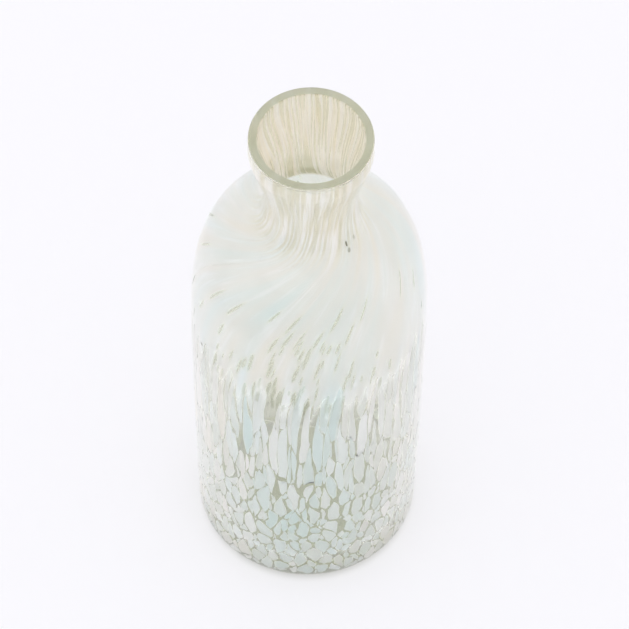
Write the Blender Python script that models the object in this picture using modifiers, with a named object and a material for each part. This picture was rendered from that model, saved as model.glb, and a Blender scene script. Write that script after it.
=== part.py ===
# Hand-blown bottle vase: clear pale green glass with a layer of white opal chips outside.
# Metres, +Z up. The origin is the centre of the foot, on the surface that the vase stands on.
import bisect
import math

import bmesh
import bpy
from mathutils import Matrix, Vector

MM = 0.001

# Outside of the vase, opal layer included
HEIGHT = 218.0 * MM
FOOT_RADIUS = 32.5 * MM
HEEL_RADIUS = 6.6 * MM
BODY_RADIUS_LOW = 39.1 * MM
BODY_RADIUS_MID = 40.0 * MM
BODY_RADIUS_HIGH = 40.3 * MM
SHOULDER_START = 118.0 * MM
THROAT_HEIGHT = 184.5 * MM
THROAT_RADIUS = 15.7 * MM
LIP_RADIUS = 20.5 * MM

# Shoulder and collar stations, as radius and height, read up the outside
SHOULDER_STATIONS = [(39.5, 139.0), (37.3, 152.4), (33.6, 162.0), (28.5, 167.8), (22.3, 172.2), (17.6, 176.8)]
COLLAR_STATIONS = [(16.4, 194.0), (17.9, 200.0), (19.5, 206.0), (20.7, 212.0)]

# Opal layer, and the gap that keeps it off the clear wall
OPAL_THICKNESS = 0.50 * MM
OPAL_GAP = 0.42 * MM
OPAL_BOTTOM = 8.0 * MM
OPAL_TOP = HEIGHT - 3.0 * MM
RECESS_SLOPE = 0.6 * MM

# Clear wall, measured from the outside of the vase to the hollow
WALL_BODY = 3.2 * MM
WALL_SHOULDER = 3.0 * MM
WALL_THROAT = 2.1 * MM
WALL_LIP = 2.9 * MM
LIP_BEVEL = 0.3 * MM
FLOOR_HEIGHT = 7.5 * MM
FLOOR_CORNER = 10.0 * MM
FLOOR_RISE = 2.0 * MM
FOOT_RING_WIDTH = 6.5 * MM
PUNT_DEPTH = 2.4 * MM

# How finely round forms are cut
TURN_STEPS = 48
LOW_ROW = 5.8 * MM
BODY_ROW = 11.5 * MM
SHOULDER_ROW = 6.2 * MM
LOW_ZONE_TOP = 60.0 * MM
BODY_ZONE_TOP = 128.0 * MM

# Twist of the drawn-out chips: slant from the vertical, in degrees, at heights up the outside
TWIST_SLANT = [(70.0, 0.0), (128.0, 7.0), (148.0, 14.0), (160.0, 28.0), (168.0, 38.0), (174.0, 46.0),
               (179.0, 40.0), (186.0, 12.0), (200.0, 0.0)]

# Gaps between the chips, zone by zone. Each band of gaps is as many rows high as its gaps, and is
# moved on round the vase from the band below it. Width is a share of one column's width.
GAP_ZONES = [
    {"first_row": 1, "bands": 4, "rows": 2, "every_column": 3, "moved_on": 1, "width": 0.55},
    {"first_row": 9, "bands": 3, "rows": 2, "every_column": 4, "moved_on": 2, "width": 0.45},
    {"first_row": 15, "bands": 3, "rows": 3, "every_column": 6, "moved_on": 1, "width": 0.36},
    {"first_row": 26, "bands": 2, "rows": 2, "every_column": 6, "moved_on": 3, "width": 0.45},
]

COLLECTION_NAME = "bottle_vase"


def clear_scene():
    for item in list(bpy.data.objects):
        bpy.data.objects.remove(item, do_unlink=True)


def curve_through(stations, steps):
    """Points of a smooth curve through the stations, with even steps in each span."""
    first, last = stations[0], stations[-1]
    before = (2 * first[0] - stations[1][0], 2 * first[1] - stations[1][1])
    after = (2 * last[0] - stations[-2][0], 2 * last[1] - stations[-2][1])
    knots = [before] + list(stations) + [after]
    points = []
    for k in range(1, len(knots) - 2):
        p0, p1, p2, p3 = knots[k - 1:k + 3]
        span = [math.sqrt(math.dist(a, b)) for a, b in ((p0, p1), (p1, p2), (p2, p3))]
        for step in range(steps):
            t = step / steps
            point = []
            for a, b, c, d in zip(p0, p1, p2, p3):
                leave = (b - a) / span[0] - (c - a) / (span[0] + span[1]) + (c - b) / span[1]
                enter = (c - b) / span[1] - (d - b) / (span[1] + span[2]) + (d - c) / span[2]
                leave, enter = leave * span[1], enter * span[1]
                point.append(
                    (2 * t**3 - 3 * t**2 + 1) * b + (t**3 - 2 * t**2 + t) * leave
                    + (3 * t**2 - 2 * t**3) * c + (t**3 - t**2) * enter)
            points.append(tuple(point))
    return points + [last]


def outside_curve():
    """Fine outline of the whole outside, from the foot up to the lip."""
    heel_centre = (FOOT_RADIUS, HEEL_RADIUS)
    heel = []
    for step in range(12):
        turn = math.radians(90 * step / 12)
        heel.append((heel_centre[0] + HEEL_RADIUS * math.sin(turn),
                     heel_centre[1] - HEEL_RADIUS * math.cos(turn)))
    stations = [(BODY_RADIUS_LOW, HEEL_RADIUS), (BODY_RADIUS_MID, (HEEL_RADIUS + SHOULDER_START) / 2),
                (BODY_RADIUS_HIGH, SHOULDER_START)]
    stations += [(radius * MM, height * MM) for radius, height in SHOULDER_STATIONS]
    stations += [(THROAT_RADIUS, THROAT_HEIGHT)]
    stations += [(radius * MM, height * MM) for radius, height in COLLAR_STATIONS]
    stations += [(LIP_RADIUS, HEIGHT)]
    return heel + curve_through(stations, 16)


class Outline:
    """The outside outline, measured by the length run along it from the foot."""

    def __init__(self, points):
        self.points = points
        self.run = [0.0]
        for a, b in zip(points, points[1:]):
            self.run.append(self.run[-1] + math.dist(a, b))

    def at_run(self, run):
        for k in range(1, len(self.run)):
            if run <= self.run[k]:
                break
        share = (run - self.run[k - 1]) / (self.run[k] - self.run[k - 1])
        a, b = self.points[k - 1], self.points[k]
        return (a[0] + share * (b[0] - a[0]), a[1] + share * (b[1] - a[1]))

    def run_at_height(self, height):
        for k in range(1, len(self.points)):
            low, high = self.points[k - 1][1], self.points[k][1]
            if low <= height <= high:
                share = (height - low) / (high - low)
                return self.run[k - 1] + share * (self.run[k] - self.run[k - 1])
        return self.run[-1]

    def inside_point(self, run, depth):
        """Point at a depth below the outside, square to it."""
        ahead = self.at_run(min(run + 0.5 * MM, self.run[-1]))
        behind = self.at_run(max(run - 0.5 * MM, 0.0))
        length = math.dist(ahead, behind)
        normal = ((ahead[1] - behind[1]) / length, -(ahead[0] - behind[0]) / length)
        here = self.at_run(run)
        return (here[0] - depth * normal[0], here[1] - depth * normal[1])


def straight_between(value, pairs):
    """Value read from pairs of place and value, with straight lines between them."""
    if value <= pairs[0][0]:
        return pairs[0][1]
    for (low, low_value), (high, high_value) in zip(pairs, pairs[1:]):
        if value <= high:
            return low_value + (high_value - low_value) * (value - low) / (high - low)
    return pairs[-1][1]


def even_runs(start, end, largest_step):
    count = max(1, math.ceil((end - start) / largest_step))
    return [start + (end - start) * k / count for k in range(count)]


def opal_rows(outline):
    """Runs of the rows of chips, from the bottom edge of the opal layer to its top edge."""
    bottom, low_top, body_top, top = [
        outline.run_at_height(z) for z in (OPAL_BOTTOM, LOW_ZONE_TOP, BODY_ZONE_TOP, OPAL_TOP)]
    rows = even_runs(bottom, low_top, LOW_ROW) + even_runs(low_top, body_top, BODY_ROW)
    return rows + even_runs(body_top, top, SHOULDER_ROW) + [top]


def wall_depth(height):
    """Depth of the hollow below the outside, at a height."""
    return straight_between(height, [
        (SHOULDER_START, WALL_BODY), (160 * MM, WALL_SHOULDER), (THROAT_HEIGHT, WALL_THROAT),
        (HEIGHT - 12 * MM, WALL_THROAT), (HEIGHT - 3 * MM, WALL_LIP)])


def turned(name, profile):
    """Mesh object turned from a profile of radius and height, both ends of which are on the axis."""
    mesh = bpy.data.meshes.new(name)
    edges = [(k, k + 1) for k in range(len(profile) - 1)]
    mesh.from_pydata([(radius, 0.0, height) for radius, height in profile], edges, [])
    item = bpy.data.objects.new(name, mesh)
    screw = item.modifiers.new("turn", "SCREW")
    screw.axis = "Z"
    screw.angle = math.tau
    screw.steps = TURN_STEPS
    screw.render_steps = TURN_STEPS
    screw.use_merge_vertices = True
    screw.merge_threshold = 0.00001
    return item


def vessel_profile(outline, rows):
    """From the middle of the floor, up the hollow, over the lip, down the outside to the foot."""
    recess = OPAL_THICKNESS + OPAL_GAP
    inner_radius = BODY_RADIUS_LOW - WALL_BODY
    profile = []
    for step in range(4):
        radius = (inner_radius - FLOOR_CORNER) * step / 4
        share = radius / (inner_radius - FLOOR_CORNER)
        profile.append((radius, FLOOR_HEIGHT + FLOOR_RISE * (1 - share**2)))
    for step in range(6):
        turn = math.radians(90 * step / 6)
        profile.append((inner_radius - FLOOR_CORNER + FLOOR_CORNER * math.sin(turn),
                        FLOOR_HEIGHT + FLOOR_CORNER * (1 - math.cos(turn))))
    body_top = outline.run_at_height(BODY_ZONE_TOP)
    for run in even_runs(outline.run_at_height(FLOOR_HEIGHT + FLOOR_CORNER), body_top, 4 * BODY_ROW):
        profile.append(outline.inside_point(run, WALL_BODY))
    upper = [run for run in rows if run >= body_top]
    for run in upper[::2]:
        profile.append(outline.inside_point(run, wall_depth(outline.at_run(run)[1])))
    profile.append((LIP_RADIUS - WALL_LIP, HEIGHT - LIP_BEVEL))
    profile.append((LIP_RADIUS - WALL_LIP + LIP_BEVEL, HEIGHT))
    profile.append((LIP_RADIUS - LIP_BEVEL, HEIGHT))
    profile.append((LIP_RADIUS, HEIGHT - LIP_BEVEL))
    profile.append(outline.at_run(outline.run_at_height(OPAL_TOP + RECESS_SLOPE)))
    for run in reversed(upper):
        profile.append(outline.inside_point(run, recess))
    low_rows = [run for run in rows if run < body_top]
    for run in reversed(low_rows[::4]):
        profile.append(outline.inside_point(run, recess))
    profile.append(outline.at_run(outline.run_at_height(OPAL_BOTTOM - RECESS_SLOPE)))
    for step in range(5, -1, -1):
        turn = math.radians(90 * step / 6)
        profile.append((FOOT_RADIUS + HEEL_RADIUS * math.sin(turn), HEEL_RADIUS * (1 - math.cos(turn))))
    foot_inner = FOOT_RADIUS - FOOT_RING_WIDTH
    profile.append((foot_inner, 0.0))
    for step in range(1, 5):
        share = step / 4
        profile.append((foot_inner * (1 - share), PUNT_DEPTH * math.sin(math.radians(90 * share))))
    return profile


def twist_angles(outline, rows):
    """Turn of each row about the axis, so that the columns of chips follow the maker's twist."""
    angle, angles = 0.0, [0.0]
    for low, high in zip(rows, rows[1:]):
        radius, height = outline.at_run((low + high) / 2)
        slant = math.radians(straight_between(height / MM, TWIST_SLANT))
        angle += (high - low) * math.tan(slant) / radius
        angles.append(angle)
    return angles


def gap_places(row_count):
    """Which cells of the layer open as gaps, as a column, a lowest row, a number of rows and a width."""
    places = []
    for zone in GAP_ZONES:
        for band in range(zone["bands"]):
            row = zone["first_row"] + band * zone["rows"]
            if row + zone["rows"] > row_count - 1:
                break
            for column in range(TURN_STEPS):
                if (column + band * zone["moved_on"]) % zone["every_column"] == 0:
                    places.append((column, row, zone["rows"], zone["width"]))
    return places


def opal_surface(outline, rows):
    """Open sheet of twisted cells with pointed gaps between the drawn-out chips."""
    points = [outline.at_run(run) for run in rows]
    heights = [height for radius, height in points]
    sheet = bmesh.new()
    line = [sheet.verts.new((radius, 0.0, height)) for radius, height in points]
    edges = [sheet.edges.new(pair) for pair in zip(line, line[1:])]
    bmesh.ops.spin(sheet, geom=line + edges, cent=(0, 0, 0), axis=(0, 0, 1), angle=math.tau,
                   steps=TURN_STEPS, use_merge=True)
    sheet.normal_update()
    sample = next(iter(sheet.faces))
    if sample.normal.dot(Vector((*sample.calc_center_median().xy, 0.0))) < 0:
        bmesh.ops.reverse_faces(sheet, faces=sheet.faces)
    cells = {}
    for face in sheet.faces:
        middle = face.calc_center_median()
        turn = math.atan2(middle.y, middle.x) % math.tau
        cells[int(turn / math.tau * TURN_STEPS), bisect.bisect(heights, middle.z) - 1] = face
    angles = twist_angles(outline, rows)
    for corner in sheet.verts:
        row = min(range(len(rows)), key=lambda k: abs(heights[k] - corner.co.z))
        corner.co = Matrix.Rotation(angles[row], 3, "Z") @ corner.co
    sheet.normal_update()
    for column, row, tall, width_share in gap_places(len(rows) - 1):
        open_gap(sheet, [cells[column, row + k] for k in range(tall)], width_share)
    return sheet


def open_gap(sheet, faces, width_share):
    """Inset a column of cells, draw both ends of the inset to a point and take it out."""
    middle = faces[len(faces) // 2]
    width = min(edge.calc_length() for edge in middle.edges)
    bmesh.ops.inset_region(sheet, faces=faces, thickness=width * (1 - width_share) / 2,
                           use_even_offset=True)
    ends = [min(faces[0].edges, key=lambda e: e.verts[0].co.z + e.verts[1].co.z),
            max(faces[-1].edges, key=lambda e: e.verts[0].co.z + e.verts[1].co.z)]
    bmesh.ops.delete(sheet, geom=faces, context="FACES_ONLY")
    bmesh.ops.collapse(sheet, edges=ends)


def glass_material(name, colour, roughness, clearness):
    material = bpy.data.materials.new(name)
    material.use_nodes = True
    shader = material.node_tree.nodes["Principled BSDF"]
    shader.inputs["Base Color"].default_value = (*colour, 1.0)
    shader.inputs["Roughness"].default_value = roughness
    shader.inputs["Metallic"].default_value = 0.0
    shader.inputs["IOR"].default_value = 1.5
    shader.inputs["Transmission Weight"].default_value = clearness
    return material


def make_vessel(outline, rows, collection):
    vessel = turned("glass_vessel", vessel_profile(outline, rows))
    vessel.data.materials.append(glass_material("clear_green_glass", (0.72, 0.77, 0.62), 0.03, 0.9))
    collection.objects.link(vessel)
    return vessel


def make_opal_layer(outline, rows, collection):
    mesh = bpy.data.meshes.new("opal_chip_layer")
    sheet = opal_surface(outline, rows)
    sheet.to_mesh(mesh)
    sheet.free()
    layer = bpy.data.objects.new("opal_chip_layer", mesh)
    layer.data.materials.append(glass_material("white_opal_glass", (0.80, 0.84, 0.80), 0.12, 0.0))
    collection.objects.link(layer)
    solidify = layer.modifiers.new("thickness", "SOLIDIFY")
    solidify.thickness = OPAL_THICKNESS
    solidify.offset = -1.0
    return layer


def main():
    clear_scene()
    collection = bpy.data.collections.new(COLLECTION_NAME)
    bpy.context.scene.collection.children.link(collection)
    outline = Outline(outside_curve())
    rows = opal_rows(outline)
    make_vessel(outline, rows, collection)
    layer = make_opal_layer(outline, rows, collection)
    for item in collection.objects:
        item.data.shade_smooth()
    print("rows", len(rows), "opal cells", len(layer.data.polygons))


main()
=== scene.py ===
import bisect
import math
import random

import bpy
from mathutils import Matrix, Vector, noise
from mathutils.kdtree import KDTree


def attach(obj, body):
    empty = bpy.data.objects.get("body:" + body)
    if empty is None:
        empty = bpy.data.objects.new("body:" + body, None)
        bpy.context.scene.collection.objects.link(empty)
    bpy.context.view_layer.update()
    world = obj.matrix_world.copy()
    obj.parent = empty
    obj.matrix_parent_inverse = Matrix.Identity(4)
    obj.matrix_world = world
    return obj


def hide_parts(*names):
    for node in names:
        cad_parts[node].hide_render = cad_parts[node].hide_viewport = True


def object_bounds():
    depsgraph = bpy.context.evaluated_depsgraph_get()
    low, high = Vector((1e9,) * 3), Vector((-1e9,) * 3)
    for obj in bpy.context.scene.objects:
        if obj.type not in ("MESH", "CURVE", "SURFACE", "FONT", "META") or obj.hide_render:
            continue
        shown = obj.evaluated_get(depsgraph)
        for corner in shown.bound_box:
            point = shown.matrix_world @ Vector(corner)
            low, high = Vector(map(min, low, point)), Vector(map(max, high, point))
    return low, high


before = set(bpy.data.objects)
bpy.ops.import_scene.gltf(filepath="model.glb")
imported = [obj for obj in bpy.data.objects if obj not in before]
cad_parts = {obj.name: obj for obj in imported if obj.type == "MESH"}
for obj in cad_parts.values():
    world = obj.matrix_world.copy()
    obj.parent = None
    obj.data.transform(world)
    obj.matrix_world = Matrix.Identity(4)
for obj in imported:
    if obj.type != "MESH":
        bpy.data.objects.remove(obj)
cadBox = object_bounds()
mm = 0.001
print("frame:", sorted(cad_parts))


# The outside of the vase, in mm: a round heel, then stations of radius and height up to the lip

shape = {
    "height": cadBox[1].z / mm,
    "footRadius": 32.5,
    "heelRadius": 6.6,
    "stations": [(39.1, 6.6), (40.0, 62.3), (40.3, 118.0), (39.5, 139.0), (37.3, 152.4), (33.6, 162.0),
                 (28.5, 167.8), (22.3, 172.2), (17.6, 176.8), (15.7, 184.5), (16.4, 194.0), (17.9, 200.0),
                 (19.5, 206.0), (20.7, 212.0), (20.5, 218.0)],
    "stepsBetweenStations": 16,
    "heelSteps": 14,
}


def curveThrough(stations, steps):  # smooth, with even steps between each two stations
    first, last = stations[0], stations[-1]
    before = (2 * first[0] - stations[1][0], 2 * first[1] - stations[1][1])
    after = (2 * last[0] - stations[-2][0], 2 * last[1] - stations[-2][1])
    knots = [before] + stations + [after]
    points = []
    for k in range(1, len(knots) - 2):
        p0, p1, p2, p3 = knots[k - 1:k + 3]
        s0, s1, s2 = [math.sqrt(math.dist(a, b)) for a, b in ((p0, p1), (p1, p2), (p2, p3))]
        for t in [step / steps for step in range(steps)]:
            point = []
            for a, b, c, d in zip(p0, p1, p2, p3):
                leave = s1 * ((b - a) / s0 - (c - a) / (s0 + s1) + (c - b) / s1)
                enter = s1 * ((c - b) / s1 - (d - b) / (s1 + s2) + (d - c) / s2)
                point.append((2 * t**3 - 3 * t**2 + 1) * b + (t**3 - 2 * t**2 + t) * leave
                             + (3 * t**2 - 2 * t**3) * c + (t**3 - t**2) * enter)
            points.append(tuple(point))
    return points + [last]


def valueAt(place, pairs):  # pairs of place and value, straight lines between them
    if place <= pairs[0][0]:
        return pairs[0][1]
    for (low, lowValue), (high, highValue) in zip(pairs, pairs[1:]):
        if place <= high:
            return lowValue + (highValue - lowValue) * (place - low) / (high - low)
    return pairs[-1][1]


def along(value, places, values):  # the same for two long lists, carried on past their ends
    k = min(max(bisect.bisect(places, value), 1), len(places) - 1)
    share = (value - places[k - 1]) / (places[k] - places[k - 1])
    return values[k - 1] + share * (values[k] - values[k - 1])


def smoothStep(share):
    share = min(max(share, 0.0), 1.0)
    return share * share * (3 - 2 * share)


def rising(value, start, full):
    return smoothStep((value - start) / (full - start))


def quarterTurn(steps):  # sine and cosine at even steps of a quarter turn, with both ends
    turns = [math.radians(90 * k / steps) for k in range(steps + 1)]
    return [(math.sin(turn), math.cos(turn)) for turn in turns]


heel = shape["heelRadius"]
outlinePoints = [(shape["footRadius"] + heel * sine, heel * (1 - cosine))
                 for sine, cosine in quarterTurn(shape["heelSteps"])[:-1]]
outlinePoints += curveThrough(shape["stations"], shape["stepsBetweenStations"])
outlineRuns = [0.0]  # length run along the outline, from the foot up
for lower, upper in zip(outlinePoints, outlinePoints[1:]):
    outlineRuns.append(outlineRuns[-1] + math.dist(lower, upper))
outlineRadii, outlineHeights = [list(values) for values in zip(*outlinePoints)]


def outlineAt(run):  # radius and height in mm
    return along(run, outlineRuns, outlineRadii), along(run, outlineRuns, outlineHeights)


def runAtHeight(height):
    return valueAt(height, list(zip(outlineHeights, outlineRuns)))


def liftedAt(run, lift):  # radius and height of a point that stands off the outline by lift
    step = 0.4
    r0, z0 = outlineAt(run - step)
    r1, z1 = outlineAt(run + step)
    length = math.dist((r0, z0), (r1, z1))
    radius, height = outlineAt(run)
    return radius + lift * (z1 - z0) / length, height - lift * (r1 - r0) / length


def deselectAll():
    bpy.ops.object.select_all(action="DESELECT")


# Nodes and colours

def linear(hexColour):  # sRGB hex to the linear colour that shaders take
    channels = [int(hexColour[k:k + 2], 16) / 255 for k in (1, 3, 5)]
    return [c / 12.92 if c <= 0.04045 else ((c + 0.055) / 1.055) ** 2.4 for c in channels] + [1.0]


def addNode(tree, kind, settings, links):
    node = tree.nodes.new(kind)
    for key, value in settings.items():
        if isinstance(key, str) and hasattr(node, key):
            setattr(node, key, value)
        else:
            node.inputs[key].default_value = value
    for key, (source, output) in links.items():
        tree.links.new(source.outputs[output], node.inputs[key])
    return node


def newMaterial(name):
    material = bpy.data.materials.new(name)
    material.use_nodes = True
    material.node_tree.nodes.clear()
    return material, material.node_tree


def attribute(tree, name):
    return addNode(tree, "ShaderNodeAttribute", {"attribute_name": name}, {})


def between(tree, share, low, high):  # a value from low to high
    return addNode(tree, "ShaderNodeMapRange", {"To Min": low, "To Max": high}, {"Value": share})


# The shader, but light from lamps and room passes straight through it, by that colour at each face
def letsLightThrough(tree, shader, passed):
    path = addNode(tree, "ShaderNodeLightPath", {}, {})
    clear = addNode(tree, "ShaderNodeBsdfTransparent", {"Color": passed}, {})
    return addNode(tree, "ShaderNodeMixShader", {}, {
        0: (path, "Is Shadow Ray"), 1: (shader, 0), 2: (clear, 0)})


# Clear soda-lime glass, blown and fire-polished: a faint olive green that only shows where light runs
# a long way through it, as at the ground lip and the heel

glassFinish = {
    "ior": 1.5,
    # Its colours, from heights in mm: darker and greener low down and in the neck. That colour is on the
    # hollow's side, because the opal is in front of it.
    "skin": [(0.0, "#fefefc")],
    "hollow": [(70.0, "#e4e7d8"), (95.0, "#fefefc"), (160.0, "#fefefc"), (176.0, "#e4decd")],
    "ground": [(10.0, "#c9ccb6"), (200.0, "#c0c3ad")],  # flat and satin: under the foot, and the lip
    "roughness": (0.02, 0.4),  # fire-polished, ground
    "clearness": (0.95, 0.6),
    "absorptionColour": (0.62, 0.65, 0.38, 1.0),
    "absorptionPerMetre": 18.0,
    "passed": (0.99, 0.99, 0.985, 1.0),  # by each face, for light from lamps and room
}


def glassColour(side, height):
    stops = [(place, linear(colour)) for place, colour in glassFinish[side]]
    return [valueAt(height, [(place, colour[k]) for place, colour in stops]) for k in range(4)]


def oliveGlass():
    material, tree = newMaterial("blown_olive_glass")
    ground = attribute(tree, "ground")
    roughness = between(tree, (ground, "Fac"), *glassFinish["roughness"])
    clearness = between(tree, (ground, "Fac"), *glassFinish["clearness"])
    shader = addNode(tree, "ShaderNodeBsdfPrincipled", {"IOR": glassFinish["ior"]}, {
        "Base Color": (attribute(tree, "glassColour"), "Color"), "Roughness": (roughness, 0),
        "Transmission Weight": (clearness, 0)})
    absorption = addNode(tree, "ShaderNodeVolumeAbsorption", {
        "Color": glassFinish["absorptionColour"], "Density": glassFinish["absorptionPerMetre"]}, {})
    mixed = letsLightThrough(tree, shader, glassFinish["passed"])
    addNode(tree, "ShaderNodeOutputMaterial", {}, {"Surface": (mixed, 0), "Volume": (absorption, 0)})
    return material


# White opal glass, picked up as chips, melted in and drawn out with the gather

opalFinish = {
    "dense": "#faf8fc",
    "thin": "#e9e8e6",   # where the streaks inside it are less dense
    "blue": "#d8e9ed",
    "beige": "#efe3cc",  # in the neck, where it is drawn out most
    "clear": "#fdfdfa",  # edges of the chips and of the skin over them
    "slit": "#cfd3be",   # olive glass that shows between streaks
    "slitClearness": 0.8,
    "ior": 1.03,         # low, because opal melted into the wall hardly bends the light that gets through
    "milkyRoughness": 0.5,
    "clearRoughness": 0.12,
    "throughMilky": 0.57,  # share of light let through at each face
    "throughClear": 0.99,
    "passed": (0.97, 0.97, 0.965, 1.0),
    "streakWidth": 0.22,   # streaks inside the opal, of a chip's width
    "streakLength": 1.5,   # and of its length
}


def opalGlass():
    material, tree = newMaterial("drawn_opal_glass")
    milkiness, olive, tone, tint = [attribute(tree, name) for name in ("milkiness", "olive", "tone", "tint")]
    across, along = 1 / opalFinish["streakWidth"], 1 / opalFinish["streakLength"]
    stretched = addNode(tree, "ShaderNodeMapping", {"Scale": (across, across, along)},
                        {"Vector": (attribute(tree, "drawn"), "Vector")})
    streaks = addNode(tree, "ShaderNodeTexNoise", {"Scale": 1.0, "Detail": 4.0, "Roughness": 0.65},
                      {"Vector": (stretched, 0)})
    whiteness = addNode(tree, "ShaderNodeMath", {"operation": "ADD"},
                        {0: (tone, "Fac"), 1: (streaks, "Fac")})
    whiteShare = addNode(tree, "ShaderNodeMapRange", {"From Min": 0.5, "From Max": 1.4},
                         {"Value": (whiteness, 0)})
    blueShare = addNode(tree, "ShaderNodeMapRange", {}, {"Value": (tint, "Fac")})
    beigeShare = addNode(tree, "ShaderNodeMapRange", {"From Max": -1.0}, {"Value": (tint, "Fac")})
    colour = addNode(tree, "ShaderNodeMix", {"data_type": "RGBA", 6: linear(opalFinish["thin"]),
                                             7: linear(opalFinish["dense"])},
                     {"Factor": (whiteShare, 0)})
    for name, share in (("blue", blueShare), ("beige", beigeShare)):
        colour = addNode(tree, "ShaderNodeMix", {"data_type": "RGBA", 7: linear(opalFinish[name])},
                         {"Factor": (share, 0), 6: (colour, 2)})
    clear = addNode(tree, "ShaderNodeMix", {"data_type": "RGBA", 6: linear(opalFinish["clear"]),
                                            7: linear(opalFinish["slit"])},
                    {"Factor": (olive, "Fac")})
    closed = between(tree, (olive, "Fac"), 1.0, 1 - opalFinish["slitClearness"])
    milky = addNode(tree, "ShaderNodeMath", {"operation": "MULTIPLY"},
                    {0: (milkiness, "Fac"), 1: (closed, 0)})
    colour = addNode(tree, "ShaderNodeMix", {"data_type": "RGBA"}, {
        "Factor": (milky, 0), 6: (clear, 2), 7: (colour, 2)})
    through = between(tree, (milky, 0), opalFinish["throughClear"], opalFinish["throughMilky"])
    roughness = between(tree, (milky, 0), opalFinish["clearRoughness"], opalFinish["milkyRoughness"])
    shader = addNode(tree, "ShaderNodeBsdfPrincipled", {"IOR": opalFinish["ior"]}, {
        "Base Color": (colour, 2), "Transmission Weight": (through, 0), "Roughness": (roughness, 0)})
    surface = letsLightThrough(tree, shader, opalFinish["passed"])
    addNode(tree, "ShaderNodeOutputMaterial", {}, {"Surface": (surface, 0)})
    return material


# The vessel: one profile from the middle of the floor, over the lip and back under the foot, then spun

vessel = {
    "wallDepth": [(118.0, 3.2), (160.0, 3.0), (184.5, 2.1), (206.0, 2.1), (215.0, 2.9)],
    "floorHeight": 7.5,
    "floorCorner": 10.0,
    "floorRise": 2.0,
    "lipRounding": 0.45,
    "footRingWidth": 6.5,
    "puntDepth": 2.4,
    "skinDepth": 0.03,   # a little inside the outline, to stay within the solid's size
    "stepsAround": 192,
    "finestRow": 1.4,    # in mm, down the outside; the hollow has rows twice as long
    "floorSteps": 10,
    "cornerSteps": 12,
    "lipSteps": 4,
    "puntSteps": 7,
    "lipEdge": (1.2, 0.9),  # from the lip down to the first rows inside and outside
    "waviness": 0.22,    # how uneven the hand-blown hollow is, in mm
    "wavinessSizes": (26.0, 26.0 / 2.7),
    "wavinessShares": (1.0, 0.4),
    "evenLip": 4.0,      # the top, which is ground even, and where that fades
    "evenFade": 8.0,
    "hollowDepth": 1.0,  # everything deeper than this belongs to the hollow
}


def vesselProfile():
    innerRadius = shape["stations"][0][0] - vessel["wallDepth"][0][1]
    corner, floor = vessel["floorCorner"], vessel["floorHeight"]
    flat = innerRadius - corner
    profile = []
    for k in range(vessel["floorSteps"]):
        share = k / vessel["floorSteps"]
        profile.append((flat * share, floor + vessel["floorRise"] * (1 - share**2)))
    for sine, cosine in quarterTurn(vessel["cornerSteps"])[:-1]:
        profile.append((flat + corner * sine, floor + corner * (1 - cosine)))
    start, end = runAtHeight(floor + corner), runAtHeight(shape["height"] - vessel["lipEdge"][0])
    count = round((end - start) / (2 * vessel["finestRow"]))
    for k in range(count + 1):
        run = start + (end - start) * k / count
        profile.append(liftedAt(run, -valueAt(outlineAt(run)[1], vessel["wallDepth"])))
    top, rounding = shape["height"], vessel["lipRounding"]
    outer = shape["stations"][-1][0]
    inner = outer - vessel["wallDepth"][-1][1]
    for sine, cosine in quarterTurn(vessel["lipSteps"]):
        profile.append((inner + rounding * (1 - cosine), top - rounding * (1 - sine)))
    for sine, cosine in quarterTurn(vessel["lipSteps"]):
        profile.append((outer - rounding * (1 - sine), top - rounding * (1 - cosine)))
    start, end = runAtHeight(shape["heelRadius"]), runAtHeight(shape["height"] - vessel["lipEdge"][1])
    count = round((end - start) / vessel["finestRow"])
    for k in range(count + 1):
        run = end + (start - end) * k / count
        profile.append(liftedAt(run, -vessel["skinDepth"]))
    for radius, height in reversed(outlinePoints[:shape["heelSteps"]]):
        profile.append((radius, height))
    footInner = shape["footRadius"] - vessel["footRingWidth"]
    for k in range(vessel["puntSteps"] + 1):
        share = k / vessel["puntSteps"]
        profile.append((footInner * (1 - share), vessel["puntDepth"] * math.sin(share * math.pi / 2)))
    return profile


def spunPiece(name, profile, steps):
    deselectAll()
    bpy.ops.mesh.primitive_plane_add(size=1.0)  # merged to one corner, the start of the profile
    piece = bpy.context.object
    piece.name = name
    bpy.ops.object.mode_set(mode="EDIT")
    bpy.ops.mesh.select_all(action="SELECT")
    bpy.ops.mesh.merge(type="CENTER")
    bpy.ops.transform.translate(value=(profile[0][0] * mm, 0.0, profile[0][1] * mm))
    for (r0, z0), (r1, z1) in zip(profile, profile[1:]):
        bpy.ops.mesh.extrude_vertices_move(
            TRANSFORM_OT_translate={"value": ((r1 - r0) * mm, 0.0, (z1 - z0) * mm)})
    bpy.ops.mesh.select_all(action="SELECT")
    bpy.ops.mesh.spin(steps=steps, angle=math.tau, center=(0, 0, 0), axis=(0, 0, 1))
    bpy.ops.mesh.select_all(action="SELECT")
    bpy.ops.mesh.remove_doubles(threshold=0.00001)
    bpy.ops.mesh.normals_make_consistent(inside=False)
    bpy.ops.object.mode_set(mode="OBJECT")
    return piece


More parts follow.
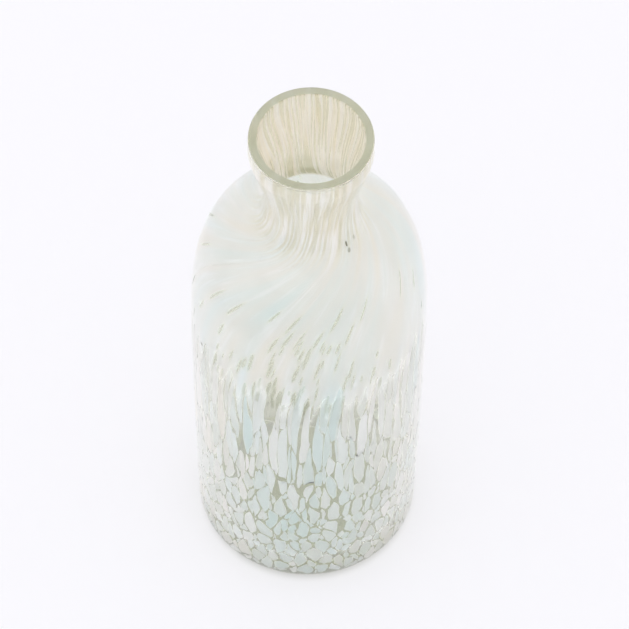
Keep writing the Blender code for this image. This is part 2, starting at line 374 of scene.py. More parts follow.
def makeVessel():
    profile = vesselProfile()
    piece = spunPiece("blown_vessel", profile, vessel["stepsAround"])
    even = shape["height"] - vessel["evenLip"]
    for corner in piece.data.vertices:
        radius = math.hypot(corner.co.x, corner.co.y)
        height = corner.co.z / mm
        if radius < 1 * mm or height < vessel["floorHeight"] + 1:  # the floor and foot stay even
            continue
        depth = outlineAt(runAtHeight(height))[0] - radius / mm
        inside = smoothStep(depth - vessel["hollowDepth"])
        inside *= smoothStep((even - height) / vessel["evenFade"])
        if inside > 0:
            wave = 0.0
            for size, share in zip(vessel["wavinessSizes"], vessel["wavinessShares"]):
                wave += share * noise.noise(corner.co / (size * mm))
            push = wave * inside * vessel["waviness"] * mm / radius
            corner.co.x *= 1 + push
            corner.co.y *= 1 + push
    ground, colours = [], []
    for face in piece.data.polygons:
        radius, height = math.hypot(face.center.x, face.center.y) / mm, face.center.z / mm
        foot = face.normal.z < -0.9 and height < vessel["puntDepth"] + 0.1
        depth = outlineAt(runAtHeight(height))[0] - radius
        side = "hollow" if depth > vessel["hollowDepth"] else "skin"
        if foot or height > shape["height"] - 0.1:
            side = "ground"
        ground.append(float(side == "ground"))
        colours.extend(glassColour(side, height))
    piece.data.attributes.new("ground", "FLOAT", "FACE").data.foreach_set("value", ground)
    piece.data.attributes.new("glassColour", "FLOAT_COLOR", "FACE").data.foreach_set("color", colours)
    piece.data.materials.append(oliveGlass())
    piece.data.shade_smooth()
    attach(piece, "root")
    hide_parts("glass_vessel")
    print("vessel:", len(piece.data.polygons), "faces")


# The chips. They are laid out on the surface as it was before it was drawn out: a is the column round
# the vase, b is the row up it, and in that layout every chip is about as wide as it is tall.

chips = {
    "seed": 11,
    "bands": [("low_opal_chips", 0.0, 62.0), ("body_opal_flakes", 62.0, 300.0)],  # up the outside
    "columns": 75.0,
    "seam": 4.0,          # columns that are doubled at the back
    "bottom": 5.4,        # height in mm
    "topRun": 122.0,      # the last chips start here, up the outside; above it they have run together
    "endRun": 133.0,      # and here they end, under the opal that covers them
    # Place up the outside, width and length of a chip, gap, share of open gaps, how far closed ones
    # lap. Above the chips only the length counts, for the streaks that are drawn out there.
    "zones": [(8.0, 3.6, 4.8, 0.3, 0.64, 0.08), (35.0, 3.4, 6.4, 0.34, 0.64, 0.08),
              (60.0, 2.9, 9.5, 0.38, 0.6, 0.08), (75.0, 2.6, 14.0, 0.4, 0.58, 0.08),
              (95.0, 2.4, 19.0, 0.4, 0.55, 0.06), (114.0, 2.4, 24.0, 0.36, 0.45, 0.03),
              (134.0, 2.7, 27.0, 0.35, 0.4, 0.04), (165.0, 3.0, 24.0, 0.35, 0.0, 0.04),
              (187.0, 1.3, 28.0, 0.35, 0.05, 0.04), (230.0, 1.35, 34.0, 0.35, 0.05, 0.04)],
    "closedSides": 0.55,  # share of the gaps that are missing away from the front
    # Painted shade: the chips are less white away from the front, on the sides and the back
    "paintedShadeAwayFromFront": 0.5,     # how much less white the chips are there
    "frontReach": 28.8,   # how far round the front goes, in degrees, and how far it fades out
    "frontFade": 48.0,
    # Slant of the twist, in degrees, up the outside
    "slant": [(105.0, 0.0), (130.0, 8.0), (150.0, 15.0), (160.0, 28.0), (168.0, 36.0), (176.0, 42.0),
              (183.0, 46.0), (192.0, 10.0), (202.0, 2.0)],
    "firstRow": 0.4,      # its place over the bottom, of a chip's length
    "rowStep": 0.86,
    "jitterAcross": 0.46,
    "jitterUp": 0.5,
    "unevenness": 0.55,   # how much a chip pushes its neighbours away, of its size
    "missing": 0.02,      # share of chips that left a clear spot
    "depth": 0.30,        # edges of the chips under the smooth skin of clear glass
    "rise": 0.24,         # tops of the chips over their edges
    "sunkFlatness": 0.8,  # how much flatter they get between these, because opal runs over them
    "sunk": (108.0, 124.0),
    "sink": 0.20,         # undersides below their edges
    "endRounding": 3.2,   # length of a chip's rounded end, in mm, and the most of its length
    "endShare": 0.3,
    "endRise": 0.35,      # how high it is there, of its rise
    "levelLength": 2.4,   # length between two rings of a chip
    "levels": (7, 16),    # at least and at most
    "narrowest": 0.25,    # smaller ones are left out, in mm
    "shortest": 1.0,
    "pointLift": -0.06,   # the points at both ends
    "cellSides": 12,      # before its neighbours take their part
    "reach": 1.5,         # from a seed to its furthest edge, of its size
    "cornerCut": 0.2,     # how much of each side goes when its corners melt away
    "openings": (0.35, 1.6),  # narrowest open gap and how much wider others are
    "windowGap": 0.1,     # to a clear spot
    "windowMargins": (0.2, 0.1),  # no seeds this near to one, across in chips and up in rows
    "raggedness": 0.12,   # of the chips' two borders, of a chip's size
    "warp": 0.30,         # how far melting moved the edges, in columns
    "warpSizes": (0.9, 2.6),
    "warpShares": (1.0, 0.7),
    "ownTint": 0.15,      # how much a chip's tint differs from that of its surroundings
}

# Clear windows between the chips that catch the eye: turn from the front in degrees, place up the
# outside, width and length
clearWindows = [(-34.4, 90.4, 1.4, 8.0), (14.9, 66.0, 1.6, 7.0),
                (-15.3, 66.0, 2.2, 3.0), (-24.0, 75.6, 1.0, 5.0), (3.0, 116.0, 1.1, 5.0),
                (19.6, 101.5, 1.2, 6.0), (-46.0, 66.0, 1.4, 5.0), (7.7, 59.0, 1.4, 4.0),
                (18.8, 22.0, 1.6, 3.5)]


class DrawnLayout:  # turns a and b of the layout into a turn round the vase and a place up it, and back

    def __init__(self):
        step = 0.5
        self.runs, self.rows, self.turns = [0.0], [0.0], [0.0]
        while self.runs[-1] < outlineRuns[-1]:
            run = self.runs[-1] + step / 2
            slant = math.radians(valueAt(run, chips["slant"]))
            self.rows.append(self.rows[-1] + step / self.rowHeight(run))
            self.turns.append(self.turns[-1] + step * math.tan(slant) / outlineAt(run)[0])
            self.runs.append(self.runs[-1] + step)

    def zone(self, run, column):
        return valueAt(run, [(zone[0], zone[column]) for zone in chips["zones"]])

    def columnWidth(self, run):  # one column, in mm
        return math.tau * outlineAt(run)[0] / chips["columns"]

    def rowHeight(self, run):  # one row, in mm
        return self.columnWidth(run) * self.zone(run, 2) / self.zone(run, 1)

    def rowAt(self, run):
        return along(run, self.runs, self.rows)

    def runAt(self, row):
        return along(row, self.rows, self.runs)

    def twistAt(self, run):
        return along(run, self.runs, self.turns)

    def columnAt(self, turn, run):
        return (turn - self.twistAt(run)) / math.tau * chips["columns"]

    def awayFromFront(self, a, run):
        turn = (math.tau * a / chips["columns"] + self.twistAt(run) + math.pi) % math.tau - math.pi
        return smoothStep((abs(math.degrees(turn)) - chips["frontReach"]) / chips["frontFade"])

    def place(self, a, b):  # the same without a seam at the back, for noise
        turn = math.tau * a / chips["columns"]
        around = chips["columns"] / math.tau
        return Vector((around * math.cos(turn), around * math.sin(turn), b))

    def warped(self, a, b):  # melting leaves no straight edge
        place, moved = self.place(a, b), Vector((0.0, 0.0))
        for size, share in zip(chips["warpSizes"], chips["warpShares"]):
            moved += share * noise.noise_vector(place * size).xy
        return a + chips["warp"] * moved.x, b + chips["warp"] * moved.y

    def point(self, a, b, lift):
        run = min(self.runAt(b), outlineRuns[-1] - 1.0)
        turn = math.tau * a / chips["columns"] + self.twistAt(run)
        radius, height = liftedAt(run, lift)
        return (radius * math.sin(turn) * mm, -radius * math.cos(turn) * mm, height * mm)


def columnsApart(a, other):  # the shorter way round
    half = chips["columns"] / 2
    return (a - other + half) % chips["columns"] - half


# Seeds of the chips: place in the layout, the chip's size there, how far it pushes its neighbours
def scatterSeeds(layout, rng):
    seeds = []
    bottom = runAtHeight(chips["bottom"])
    run, row = bottom + chips["firstRow"] * layout.zone(bottom, 2), 0
    while run < chips["topRun"]:
        width, length = layout.zone(run, 1), layout.zone(run, 2)
        count = round(math.tau * outlineAt(run)[0] / width)
        size = chips["columns"] / count
        for k in range(count):
            a = size * (k + row % 2 / 2 + rng.uniform(-1, 1) * chips["jitterAcross"])
            b = layout.rowAt(run) + size * rng.uniform(-1, 1) * chips["jitterUp"]
            push = size * size * rng.uniform(-1, 1) * chips["unevenness"]
            built = rng.random() > chips["missing"]
            seeds.append({"a": a % chips["columns"], "b": b, "size": size, "push": push, "built": built})
        run += chips["rowStep"] * length
        row += 1
    return seeds


# Takes out the seeds in the clear windows, and puts a seed there that stays unbuilt
def openWindows(layout, seeds):
    for degrees, run, width, length in clearWindows:
        a, b = layout.columnAt(math.radians(degrees), run) % chips["columns"], layout.rowAt(run)
        halfA, halfB = width / 2 / layout.columnWidth(run), length / 2 / layout.rowHeight(run)
        aside, beyond = chips["windowMargins"]
        kept = []
        for seed in seeds:
            across = columnsApart(seed["a"], a) / (halfA + aside * seed["size"])
            if across ** 2 + ((seed["b"] - b) / (halfB + beyond)) ** 2 > 1:
                kept.append(seed)
        size = min(seeds, key=lambda seed: abs(seed["b"] - b))["size"]
        push = halfA * halfA - 0.25 * size * size
        kept.append({"a": a, "b": b, "size": size, "push": push, "built": False})
        seeds = kept
    return seeds


def clipped(polygon, across, up, limit):  # the part where across * a + up * b is at most limit
    result = []
    for (a0, b0), (a1, b1) in zip(polygon, polygon[1:] + polygon[:1]):
        before, after = across * a0 + up * b0 - limit, across * a1 + up * b1 - limit
        if before <= 0:
            result.append((a0, b0))
        if before * after < 0:
            share = before / (before - after)
            result.append((a0 + share * (a1 - a0), b0 + share * (b1 - b0)))
    return result


def chipOutline(layout, seed, number, neighbours):  # cell of one seed, with the gaps taken off
    a, b, size = seed["a"], seed["b"], seed["size"]
    reach = chips["reach"] * size
    smallest, spread = chips["openings"]
    polygon = []
    for k in range(chips["cellSides"]):
        turn = math.tau * k / chips["cellSides"]
        polygon.append((a + reach * math.cos(turn), b + reach * math.sin(turn)))
    run = layout.runAt(b)
    columnWidth, rowHeight = layout.columnWidth(run), layout.rowHeight(run)
    gap, openShare, lap = [layout.zone(run, column) for column in (3, 4, 5)]
    openShare *= 1 - chips["closedSides"] * layout.awayFromFront(a, run)
    for otherNumber, otherA, other in neighbours:
        across, up = otherA - a, other["b"] - b
        distance = math.hypot(across, up)
        if distance < 1e-6:
            continue
        across, up = across / distance, up / distance
        pair = random.Random(min(number, otherNumber) * 100003 + max(number, otherNumber))
        opening = gap * (smallest + spread * pair.random() ** 2) if pair.random() < openShare else -2 * lap
        if not other["built"]:
            opening = chips["windowGap"]
        halfGap = opening / 2 * math.hypot(across / columnWidth, up / rowHeight)
        border = distance / 2 + (seed["push"] - other["push"]) / (2 * distance) - halfGap
        polygon = clipped(polygon, across, up, across * a + up * b + border)
        if len(polygon) < 3:
            return []
    low = layout.rowAt(runAtHeight(chips["bottom"]))
    ragged = chips["raggedness"] * size * noise.noise(Vector((a, b, 5.0)))
    polygon = clipped(polygon, 0.0, -1.0, -(low + abs(ragged)))
    return clipped(polygon, 0.0, 1.0, layout.rowAt(chips["endRun"]) + 3 * ragged)


def cornersCut(polygon):
    cut = []
    for (a0, b0), (a1, b1) in zip(polygon, polygon[1:] + polygon[:1]):
        for share in (chips["cornerCut"], 1 - chips["cornerCut"]):
            cut.append(((1 - share) * a0 + share * a1, (1 - share) * b0 + share * b1))
    return cut


def sidesAt(polygon, b):
    hits = []
    for (a0, b0), (a1, b1) in zip(polygon, polygon[1:] + polygon[:1]):
        if (b0 <= b) != (b1 <= b):
            hits.append(a0 + (a1 - a0) * (b - b0) / (b1 - b0))
    return (min(hits), max(hits)) if len(hits) > 1 else None


def emptyOpalMesh():
    return {"vertices": [], "faces": [], "drawn": [], "milkiness": [], "olive": [], "tone": [], "tint": []}


def addCorner(mesh, corner, drawn, **looks):
    mesh["vertices"].append(corner)
    mesh["drawn"].extend(drawn)
    for key, value in looks.items():
        mesh[key].append(value)


# Place across a chip, share of its full rise, milkiness of the opal
acrossProfile = [(-1.0, -0.12, 0.25), (-0.72, 0.65, 0.95), (0.0, 1.0, 1.0), (0.72, 0.65, 0.95),
                 (1.0, -0.12, 0.25), (0.8, -1.0, 0.6), (-0.8, -1.0, 0.6)]


# One melted flake: domed rings up its length, closed to a point at both ends
def addChip(layout, polygon, rng, mesh):
    middle = (min(b for a, b in polygon) + max(b for a, b in polygon)) / 2
    run = layout.runAt(middle)
    columnWidth = layout.columnWidth(run)
    polygon = cornersCut(polygon)
    low, high = min(b for a, b in polygon), max(b for a, b in polygon)
    length = layout.runAt(high) - layout.runAt(low)
    if length < chips["shortest"]:
        return False
    fewest, most = chips["levels"]
    levels = min(max(math.ceil(length / chips["levelLength"]), fewest), most)
    endLength = min(chips["endRounding"], chips["endShare"] * length)
    base = len(mesh["vertices"])
    a = sum(corner[0] for corner in polygon) / len(polygon)
    fullRise = chips["rise"] * (1 - chips["sunkFlatness"] * rising(run, *chips["sunk"]))
    # Less white away from the front: painted shade
    tone = rng.random() - chips["paintedShadeAwayFromFront"] * layout.awayFromFront(a, run)
    tint = opalTint(layout, a, run) + rng.uniform(-chips["ownTint"], chips["ownTint"])
    offset = rng.uniform(0, 90)

    def put(a, b, lift, milkiness):
        corner = layout.point(*layout.warped(a, b), lift - chips["depth"])
        addCorner(mesh, corner, layout.place(a, b + offset),
                  milkiness=milkiness, olive=0.0, tone=tone, tint=tint)

    widest = 0.0
    rings = []
    for k in range(1, levels):
        share = (1 - math.cos(math.pi * k / levels)) / 2
        b = low + (high - low) * share
        sides = sidesAt(polygon, b)
        if sides is None:
            continue
        left, right = sides
        end = min(min(share, 1 - share) * length / endLength, 1.0)
        rounding = math.sqrt(1 - (1 - end) ** 2)
        centre, half = (left + right) / 2, max((right - left) / 2 * rounding, 0.02)
        widest = max(widest, half)
        rings.append((b, centre, half, rounding))
    if widest * columnWidth < chips["narrowest"] or len(rings) < 3:
        return False
    put(rings[0][1], low, chips["pointLift"], 0.0)
    for b, centre, half, rounding in rings:
        for across, rise, milkiness in acrossProfile:
            height = fullRise * (chips["endRise"] + (1 - chips["endRise"]) * rounding)
            lift = rise * (height if rise > 0 else chips["sink"])
            put(centre + across * half, b, lift, milkiness * min(1.5 * rounding, 1.0))
    put(rings[-1][1], high, chips["pointLift"], 0.0)
    around = len(acrossProfile)
    last = len(mesh["vertices"]) - 1
    for k in range(around):
        mesh["faces"].append((base, base + 1 + (k + 1) % around, base + 1 + k))
        for ring in range(len(rings) - 1):
            first = base + 1 + ring * around
            mesh["faces"].append((first + k, first + (k + 1) % around,
                                  first + around + (k + 1) % around, first + around + k))
        top = last - around
        mesh["faces"].append((top + k, top + (k + 1) % around, last))
    return True


# The opal's tint, from -1 for beige to 1 for blue
tinting = {
    "upOutside": [(122.0, 0.08), (158.0, 0.2), (170.0, 0.3), (182.0, 0.15), (190.0, -0.35), (198.0, -0.7),
                  (215.0, -0.85)],
    "unevenness": 0.35,
    "unevennessSize": 0.7,
    # Places where it is bluer: turn in degrees, place up the outside, reach across and up in mm
    "bluePlaces": [(-29.0, 101.0, 4.0, 12.0), (12.0, 118.0, 4.0, 14.0), (-11.0, 44.0, 7.0, 7.0),
                   (-24.0, 166.0, 2.6, 12.0), (-4.0, 172.0, 1.6, 14.0), (22.0, 168.0, 3.2, 14.0),
                   (48.0, 176.0, 2.0, 14.0), (6.0, 98.0, 6.0, 16.0), (0.0, 56.0, 27.0, 52.0)],
    "placeTint": 0.5,
}


def opalTint(layout, a, run):
    tint = valueAt(run, tinting["upOutside"])
    uneven = noise.noise(layout.place(a, layout.rowAt(run)) * tinting["unevennessSize"])
    tint += tinting["unevenness"] * uneven
    for degrees, place, across, up in tinting["bluePlaces"]:
        away = columnsApart(a, layout.columnAt(math.radians(degrees), place))
        near = math.exp(-(away * layout.columnWidth(run) / across) ** 2 - ((run - place) / up) ** 2)
        tint += tinting["placeTint"] * near
    return min(max(tint, -1.0), 1.0)


def opalPiece(name, mesh, material):
    data = bpy.data.meshes.new(name)
    data.from_pydata(mesh["vertices"], [], mesh["faces"])
    data.update()
    data.attributes.new("drawn", "FLOAT_VECTOR", "POINT").data.foreach_set("vector", mesh["drawn"])
    for key in ("milkiness", "olive", "tone", "tint"):
        data.attributes.new(key, "FLOAT", "POINT").data.foreach_set("value", mesh[key])
    data.materials.append(material)
    data.shade_smooth()
    piece = bpy.data.objects.new(name, data)
    bpy.context.scene.collection.objects.link(piece)
    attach(piece, "root")
    return piece



def makeChips(layout, material):
    rng = random.Random(chips["seed"])
    noise.seed_set(chips["seed"])  # noise_vector would start from the clock without it
    seeds = openWindows(layout, scatterSeeds(layout, rng))
    places = []
    for number, seed in enumerate(seeds):
        for turn in (-1, 0, 1):  # those near the seam count on both sides of it
            a = seed["a"] + turn * chips["columns"]
            if -chips["seam"] < a < chips["columns"] + chips["seam"]:
                places.append((number, a, seed))
    tree = KDTree(len(places))
    for k, (number, a, seed) in enumerate(places):
        tree.insert((a, seed["b"], 0.0), k)
    tree.balance()
    meshes = {name: emptyOpalMesh() for name, start, end in chips["bands"]}
    built = 0
    for number, seed in enumerate(seeds):
        if not seed["built"]:
            continue
        near = tree.find_range((seed["a"], seed["b"], 0.0), 2 * chips["reach"] * seed["size"])
        neighbours = [places[k] for place, k, distance in near if distance > 1e-6]
        polygon = chipOutline(layout, seed, number, neighbours)
        if len(polygon) < 3:
            continue
        run = layout.runAt(seed["b"])
        name = next(name for name, start, end in chips["bands"] if start <= run < end)
        built += addChip(layout, polygon, rng, meshes[name])
    pieces = [opalPiece(name, mesh, material) for name, mesh in meshes.items()]
    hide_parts("opal_chip_layer")
    print("chips:", built, "of", len(seeds))


# Above the chips the opal has run together: one streaky skin up to the lip, with a few slits left in it

veil = {
    "seed": 4,
    "start": 110.0,      # its lower edge, up the outside, in mm
    "raggedStart": 117.0,
    "full": 134.0,       # it turns milky between these two
    "raggedness": 13.0,
    "top": 217.0,        # height of its upper edge
    "columnsAround": 720,
    "rowSteps": [(150.0, 0.95), (185.0, 1.15), (200.0, 1.5)],
    "rise": 0.19,        # over the edges of the chips
    "clearRise": 0.14,   # the same where it is clear
    "milkiness": 0.85,
    "whiteness": 0.5,
    "neckWhiteness": -0.4,
    "skinGrey": 0.6,     # how much less white the outer side is
    # What middle and fine streaks add to the whiteness, and lines and fine ones in the neck
    "toneShares": (0.5, 0.7),
    "neckToneShares": (0.9, 0.2),
    # The same for the tint, with the opal's own tint and broad streaks before the middle ones
    "tintShares": (0.6, 0.3, 0.25),
    "neckTintShares": (0.4, 0.4),
    "thickness": 0.34,
    # Streaks of four widths: how many per column of the layout, and where their noise starts
    "broadStreaks": (0.42, (3.0, 0.0, 9.0)),
    "middleStreaks": (1.1, (0.0, 0.0, 0.0)),
    "fineStreaks": (3.2, (0.0, 8.0, 1.0)),
    "neckStreaks": (2.2, (5.0, 0.0, 2.0)),
    "neckStretch": 0.6,  # rows of those in the neck, for one of the layout
    "neckLines": 2.8,    # how sharp the white lines in the neck are
    "neckOlive": 0.8,    # how much clearer it is between them
    # Its outer side: height in mm, share of those lines, and how clear it is besides
    "neckSkin": [(172.0, 1.0, 0.0), (181.0, 0.6, 0.1), (190.0, 0.25, 0.22), (198.0, 0.12, 0.32)],
    "relief": 0.015,
    "neck": (180.0, 192.0),  # between these the streaks turn into lines
    "neckRelief": 0.06,
    "neckSway": 0.4,     # how far the lines wander, in columns
    "slits": 130,
    "slitDepth": 0.72,   # how clear they are
    "frontSlits": 0.55,  # share of them in front, and their mean turn and its spread, in degrees
    "frontTurn": (-8.0, 20.0),
    "slitLengths": (4.5, 13.0),
    "slitWidths": (0.9, 1.6),
    "slitRange": (120.0, 166.0),  # where they are, up the outside, and how much closer low down
    "slitCrowding": 1.4,
    "slitLean": 0.03,    # off the drawn direction, in columns
    "slitEnd": 1.45,     # where a slit has closed, how far from its middle, of its size
    "slitFade": 0.9,
    "slitReach": 1.4,    # the same up and down, where it is cut off
}


def thicken(piece, thickness):  # inwards
    deselectAll()
    piece.select_set(True)
    bpy.context.view_layer.objects.active = piece
    modifier = piece.modifiers.new("thickness", "SOLIDIFY")
    modifier.thickness = thickness * mm
    modifier.offset = -1.0
    bpy.ops.object.modifier_apply(modifier="thickness")


def veilSlits(layout):  # place in the layout, half width in columns, half length in mm, lean
    rng = random.Random(veil["seed"])
    slits = []
    low, high = veil["slitRange"]
    for k in range(veil["slits"]):
        run = low + (high - low) * rng.random() ** veil["slitCrowding"]
        front = rng.random() < veil["frontSlits"]
        degrees = rng.gauss(*veil["frontTurn"]) if front else rng.uniform(-180, 180)
        a = layout.columnAt(math.radians(degrees), run) % chips["columns"]
        width, length = rng.uniform(*veil["slitWidths"]), rng.uniform(*veil["slitLengths"])
        lean = rng.uniform(-veil["slitLean"], veil["slitLean"])
        slits.append((a, run, width / 2 / layout.columnWidth(run), length / 2, lean))
    return slits


def slitDepth(slits, a, run):
    depth = 0.0
    for slitA, slitRun, halfWidth, halfLength, lean in slits:
        up = (run - slitRun) / halfLength
        away = math.hypot((columnsApart(a, slitA) - lean * up) / halfWidth, up)
        depth = max(depth, smoothStep((veil["slitEnd"] - away) / veil["slitFade"]))
    return depth


def streak(kind, place):
    perColumn, start = veil[kind]
    return noise.noise(place * perColumn + Vector(start))


def weighed(shares, values):
    return sum(share * value for share, value in zip(shares, values))


def veilCorner(layout, slits, a, run):  # its lift and its looks
    row = layout.rowAt(run)
    neck = rising(run, *veil["neck"])
    wave = veil["neckSway"] * neck * noise.noise(layout.place(a, 3.0 * row) * 0.9)
    place = layout.place(a + wave, row)
    broad, middle, fine = [streak(kind, place) for kind in ("broadStreaks", "middleStreaks", "fineStreaks")]
    drawnOut = streak("neckStreaks", layout.place(a + wave, veil["neckStretch"] * row))
    line = smoothStep(0.5 + veil["neckLines"] * drawnOut)
    start = veil["raggedStart"] + veil["raggedness"] * noise.noise(layout.place(a, 0.0) * 1.3)
    milkiness = smoothStep((run - start) / (veil["full"] - veil["raggedStart"]))
    clearLine = neck * veil["neckOlive"] * (1 - line)
    olive = max(veil["slitDepth"] * slitDepth(slits, a, run), clearLine) if milkiness > 0 else 0.0
    relief = veil["relief"] * (1 - neck) * (middle + fine) + veil["neckRelief"] * neck * (drawnOut + fine)
    lift = veil["clearRise"] + (veil["rise"] - veil["clearRise"] + relief) * milkiness - chips["depth"]
    milkiness *= veil["milkiness"]
    tone = veil["whiteness"] + weighed(veil["toneShares"], (middle, fine))
    tone += neck * (veil["neckWhiteness"] + weighed(veil["neckToneShares"], (line, fine)))
    tint = weighed(veil["tintShares"], (opalTint(layout, a, run), broad, middle))
    tint += neck * weighed(veil["neckTintShares"], (line, fine))
    return lift, {"milkiness": milkiness, "olive": olive, "tone": tone, "tint": min(max(tint, -1.0), 1.0)}


def makeVeil(layout, material):
    slits = veilSlits(layout)
    runs = [veil["start"]]
    while runs[-1] < runAtHeight(veil["top"]):
        runs.append(runs[-1] + valueAt(runs[-1], veil["rowSteps"]))
    half = veil["columnsAround"] // 2
    for name, firstColumn in (("front_opal_veil", -half // 2), ("back_opal_veil", half - half // 2)):
        mesh = emptyOpalMesh()
        for run in runs:
            near = [slit for slit in slits if abs(run - slit[1]) < veil["slitReach"] * slit[3]]
            row = layout.rowAt(run)
            for column in range(firstColumn, firstColumn + half + 1):
                a = chips["columns"] * column / veil["columnsAround"]
                lift, looks = veilCorner(layout, near, a, run)
                addCorner(mesh, layout.point(a, row, lift), layout.place(a, row), **looks)
        for up in range(len(runs) - 1):
            for k in range(up * (half + 1), up * (half + 1) + half):
                mesh["faces"].append((k, k + 1, k + half + 2, k + half + 1))
        piece = opalPiece(name, mesh, material)
        thicken(piece, veil["thickness"])
        lines = [(height, share) for height, share, even in veil["neckSkin"]]
        evenly = [(height, even) for height, share, even in veil["neckSkin"]]
        olives, tones = piece.data.attributes["olive"].data, piece.data.attributes["tone"].data
        for k in range(len(mesh["olive"])):  # the outer side comes first
            height = mesh["vertices"][k][2] / mm
            olives[k].value = olives[k].value * valueAt(height, lines) + valueAt(height, evenly)
            tones[k].value -= veil["skinGrey"]
        print("veil:", name, 2 * len(piece.data.polygons), "triangles")


# Specks of dark glass that were caught in the opal

specks = {
    "depth": 0.09,       # under the skin
    "thickness": 0.16,
    "roughness": 0.3,
    # Turn from the front in degrees, place up the outside, length and width in mm, slant in degrees,
    # colour
    "places": [(43.0, 188.6, 2.6, 0.7, 8.0, "#86836c"), (42.6, 186.2, 1.7, 1.1, 30.0, "#c4c4b8"),
               (55.0, 188.6, 1.6, 0.9, 20.0, "#d8d8ce"), (-64.0, 126.0, 1.6, 1.8, 0.0, "#a8a8a2")],
}


def makeSpecks():
    for number, (degrees, run, length, width, slant, colour) in enumerate(specks["places"]):
        radius, height = liftedAt(run, -specks["depth"])
        turn = math.radians(degrees)
        lower, upper = liftedAt(run - 0.5, 0.0), liftedAt(run + 0.5, 0.0)
        leaning = math.atan2(lower[0] - upper[0], upper[1] - lower[1])
        deselectAll()
        bpy.ops.mesh.primitive_uv_sphere_add(segments=16, ring_count=8, radius=0.5 * mm)
        speck = bpy.context.object
        speck.name = f"dark_speck_{number + 1}"
        place = Matrix.Rotation(turn, 4, "Z") @ Matrix.Translation((0.0, -radius * mm, height * mm))
        lean = Matrix.Rotation(-leaning, 4, "X") @ Matrix.Rotation(math.radians(slant), 4, "Y")
        speck.matrix_world = place @ lean @ Matrix.Diagonal((width, specks["thickness"], length, 1.0))
        bpy.ops.object.transform_apply(location=True, rotation=True, scale=True)
        material, tree = newMaterial(f"speck_of_dark_glass_{number + 1}")
        shader = addNode(tree, "ShaderNodeBsdfPrincipled",
                         {"Base Color": linear(colour), "Roughness": specks["roughness"]}, {})
        addNode(tree, "ShaderNodeOutputMaterial", {}, {"Surface": (shader, 0)})
        speck.data.materials.append(material)
        speck.data.shade_smooth()
        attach(speck, "root")
    print("specks:", len(specks["places"]))


# Stage, light and camera

studio = {
    "tableSize": 1.24,
    "table": "#bebebe",     # as the camera and reflections see it
    "tableUnseen": "#5c5c5c",
    # The photograph is overexposed, so the table glows. It fades in between two distances from the axis, in
    # mm, up to a strength: as the camera sees it, and as it is seen through the glass. The fade paints
    # shade: a painted contact shadow round the foot, and painted shade under the vase where the table is
    # seen through the glass.
    "seenGlowPaintedShadow": (32.0, 40.0, 0.465),
    "throughGlowPaintedShade": (20.0, 110.0, 0.45),
    # Painted reflection: a glow on the table that only reflections see, for the white haze on the glass
    "paintedReflectionGlow": 0.05,  # added in reflections, for the white haze on the glass
    "bouncedGlow": 0.82,    # the light that the table gives to the vase
    "horizonLight": 1.0,    # white all round
    "zenithLight": 1.0,
    "light": "#fbfaff",     # of room and lamp on the vase, cooler than what the camera sees
    "lampSize": 1.4,
    "lampPlace": (-0.35, -0.5, 1.6),
    "lampPower": 1.9,
    "lens": 257.55,
    "sensor": 36.0,
    "elevation": 56.67,
    "roll": 0.849,
    "distance": 1.5375,
    "target": (0.0019, 0.0, 0.1145),
}


def eitherRay(tree, *kinds):  # 1 for rays of these kinds, 0 for others
    path = addNode(tree, "ShaderNodeLightPath", {}, {})
    seen = (path, kinds[0])
    for kind in kinds[1:]:
        both = addNode(tree, "ShaderNodeMath", {"operation": "ADD", "use_clamp": True},
                       {0: seen, 1: (path, kind)})
        seen = (both, 0)
    return seen


# A glow that fades in away from the axis and is left out near the vase, which paints shade there
def fadingIn(tree, distance, start, full, strength):  # start and full in mm
    return addNode(tree, "ShaderNodeMapRange", {
        "interpolation_type": "SMOOTHSTEP", "From Min": start * mm, "From Max": full * mm,
        "To Max": strength}, {"Value": distance})


def makeStage():
    deselectAll()
    bpy.ops.mesh.primitive_plane_add(size=studio["tableSize"])
    table = bpy.context.object
    table.name = "table"
    material, tree = newMaterial("matt_white_table")
    shown = eitherRay(tree, "Is Camera Ray", "Is Glossy Ray")
    path = addNode(tree, "ShaderNodeLightPath", {}, {})
    place = addNode(tree, "ShaderNodeTexCoord", {}, {})
    away = addNode(tree, "ShaderNodeVectorMath", {"operation": "LENGTH"}, {0: (place, "Object")})
    # Painted contact shadow round the foot as the camera sees the table, and painted shade under the vase as
    # the table is seen through the glass
    seen, through = [fadingIn(tree, (away, "Value"), *studio[key]) for key in ("seenGlowPaintedShadow", "throughGlowPaintedShade")]
    # In reflections a painted reflection glow is added, for the white haze on the glass
    glow = addNode(tree, "ShaderNodeMath", {"operation": "MULTIPLY_ADD", 1: studio["paintedReflectionGlow"]},
                   {0: (path, "Is Reflection Ray"), 2: (seen, 0)})
    glow = addNode(tree, "ShaderNodeMix", {}, {"Factor": (path, "Is Transmission Ray"), 2: (glow, 0),
                                               3: (through, 0)})
    glow = addNode(tree, "ShaderNodeMix", {2: studio["bouncedGlow"]}, {"Factor": shown, 3: (glow, 0)})
    colour = addNode(tree, "ShaderNodeMix", {"data_type": "RGBA", 6: linear(studio["tableUnseen"]),
                                             7: linear(studio["table"])}, {"Factor": shown})
    shader = addNode(tree, "ShaderNodeBsdfPrincipled", {
        "Roughness": 0.9, "Specular IOR Level": 0.1, "Emission Color": linear(studio["light"])},
        {"Base Color": (colour, 2), "Emission Strength": (glow, 0)})
    addNode(tree, "ShaderNodeOutputMaterial", {}, {"Surface": (shader, 0)})
    material.cycles.emission_sampling = "FRONT"  # its light also reaches into the hollow
    table.data.materials.append(material)


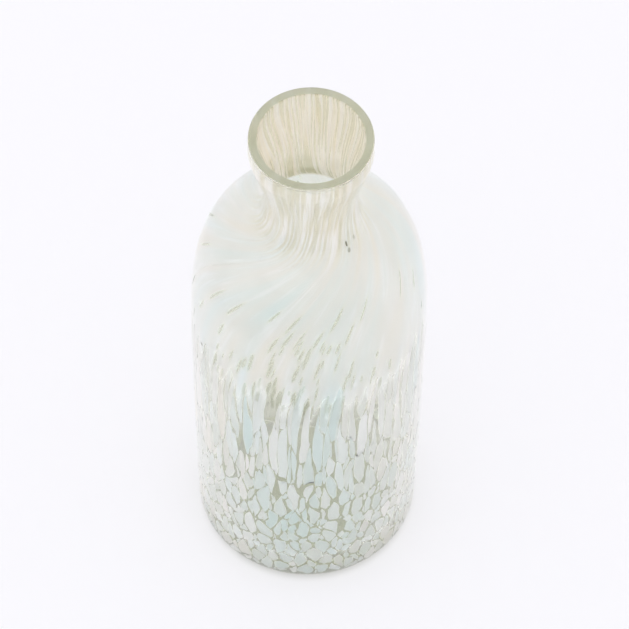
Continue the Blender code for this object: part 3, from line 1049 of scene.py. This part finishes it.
def makeLight():
    world = bpy.data.worlds.new("soft_tent")
    bpy.context.scene.world = world
    world.use_nodes = True
    tree = world.node_tree
    tree.nodes.clear()
    shown = eitherRay(tree, "Is Camera Ray", "Is Glossy Ray", "Is Transmission Ray")
    colour = addNode(tree, "ShaderNodeMix", {"data_type": "RGBA", 6: linear(studio["light"]),
                                             7: (1.0, 1.0, 1.0, 1.0)}, {"Factor": shown})
    # The strength follows the direction, even where both ends are the same. Only then does Cycles send
    # shadow rays to the room, and those are what gets straight through the glass.
    direction = addNode(tree, "ShaderNodeTexCoord", {}, {})
    upward = addNode(tree, "ShaderNodeSeparateXYZ", {}, {"Vector": (direction, "Generated")})
    level = between(tree, (upward, "Z"), studio["horizonLight"], studio["zenithLight"])
    background = addNode(tree, "ShaderNodeBackground", {}, {"Color": (colour, 2), "Strength": (level, 0)})
    addNode(tree, "ShaderNodeOutputWorld", {}, {"Surface": (background, 0)})
    lamp = bpy.data.lights.new("overhead_softbox", "AREA")
    lamp.shape = "DISK"
    lamp.size = studio["lampSize"]
    lamp.energy = studio["lampPower"]
    lamp.color = linear(studio["light"])[:3]
    holder = bpy.data.objects.new("overhead_softbox", lamp)
    holder.location = studio["lampPlace"]
    holder.rotation_euler = Vector(studio["lampPlace"]).to_track_quat("Z", "Y").to_euler()
    bpy.context.scene.collection.objects.link(holder)


def makeCamera():
    camera = bpy.data.objects.new("camera", bpy.data.cameras.new("camera"))
    camera.data.lens = studio["lens"]
    camera.data.sensor_width = studio["sensor"]
    elevation = math.radians(studio["elevation"])
    back = Vector((0.0, -math.cos(elevation), math.sin(elevation)))
    place = Vector(studio["target"]) + back * studio["distance"]
    camera.matrix_world = (Matrix.Translation(place) @ Matrix.Rotation(math.pi / 2 - elevation, 4, "X")
                           @ Matrix.Rotation(math.radians(studio["roll"]), 4, "Z"))
    bpy.context.scene.collection.objects.link(camera)
    bpy.context.scene.camera = camera


makeCamera()
makeLight()
makeStage()
makeVessel()
opal = opalGlass()
drawnLayout = DrawnLayout()
makeChips(drawnLayout, opal)
makeVeil(drawnLayout, opal)
makeSpecks()
bpy.context.scene.view_settings.view_transform = "Standard"
